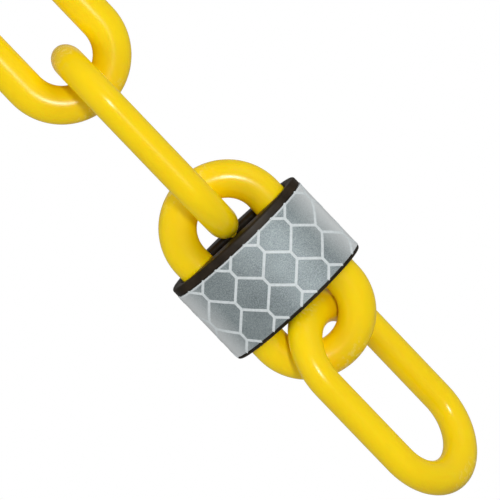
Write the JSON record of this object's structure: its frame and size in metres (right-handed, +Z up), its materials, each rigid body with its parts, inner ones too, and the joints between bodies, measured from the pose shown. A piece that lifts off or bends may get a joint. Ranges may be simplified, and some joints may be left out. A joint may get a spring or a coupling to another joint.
{
  "type": "plastic barrier chain with reflective collar",
  "caption": "Hanging run of oval moulded plastic barrier chain, the link above the free end wearing a split oval collar wrapped in honeycomb reflective sheet.",
  "frame": {"origin": "the lowest point of the top link's inner upper crown, where a hook carries the chain", "axes": "+Z up along the hanging chain, +X along the width of the top link, +Y away from the front of the collar"},
  "size_m": [0.048, 0.0394, 0.3306],
  "materials": {
    "yellow_plastic": "glossy injection-moulded yellow polyethylene",
    "black_plastic": "satin black moulded plastic",
    "reflective_sheet": "silver-grey retroreflective sheet with a pale honeycomb seal pattern"
  },
  "bodies": {
    "top_link": {"link_1": "yellow_plastic"},
    "second_link": {"link_2": "yellow_plastic"},
    "third_link": {"link_3": "yellow_plastic"},
    "fourth_link": {"link_4": "yellow_plastic"},
    "collar_link": {"link_5": "yellow_plastic"},
    "end_link": {"link_6": "yellow_plastic"},
    "collar": {"collar_front_shell": "black_plastic", "collar_rear_shell": "black_plastic", "reflective_sheet": "reflective_sheet"}
  },
  "joints": [
    {"name": "second_link_swing", "type": "hinge", "parent": "top_link", "child": "second_link", "pos_m": [0, 0, -0.05755], "axis": [1, 0, 0], "range_deg": [-75, 75]},
    {"name": "third_link_swing", "type": "hinge", "parent": "second_link", "child": "third_link", "pos_m": [0, 0, -0.10925], "axis": [0, 1, 0], "range_deg": [-75, 75]},
    {"name": "fourth_link_swing", "type": "hinge", "parent": "third_link", "child": "fourth_link", "pos_m": [0, 0, -0.16095], "axis": [1, 0, 0], "range_deg": [-75, 75]},
    {"name": "collar_link_swing", "type": "hinge", "parent": "fourth_link", "child": "collar_link", "pos_m": [0, 0, -0.21265], "axis": [0, 1, 0], "range_deg": [-75, 75]},
    {"name": "end_link_turn", "type": "hinge", "parent": "collar_link", "child": "end_link", "pos_m": [0, 0, -0.2588], "axis": [0, 0, 1], "range_deg": [0, 78]},
    {"name": "collar_slide", "type": "slide", "parent": "collar_link", "child": "collar", "axis": [0, 0, 1], "range_m": [0, 0.0005]}
  ]
}
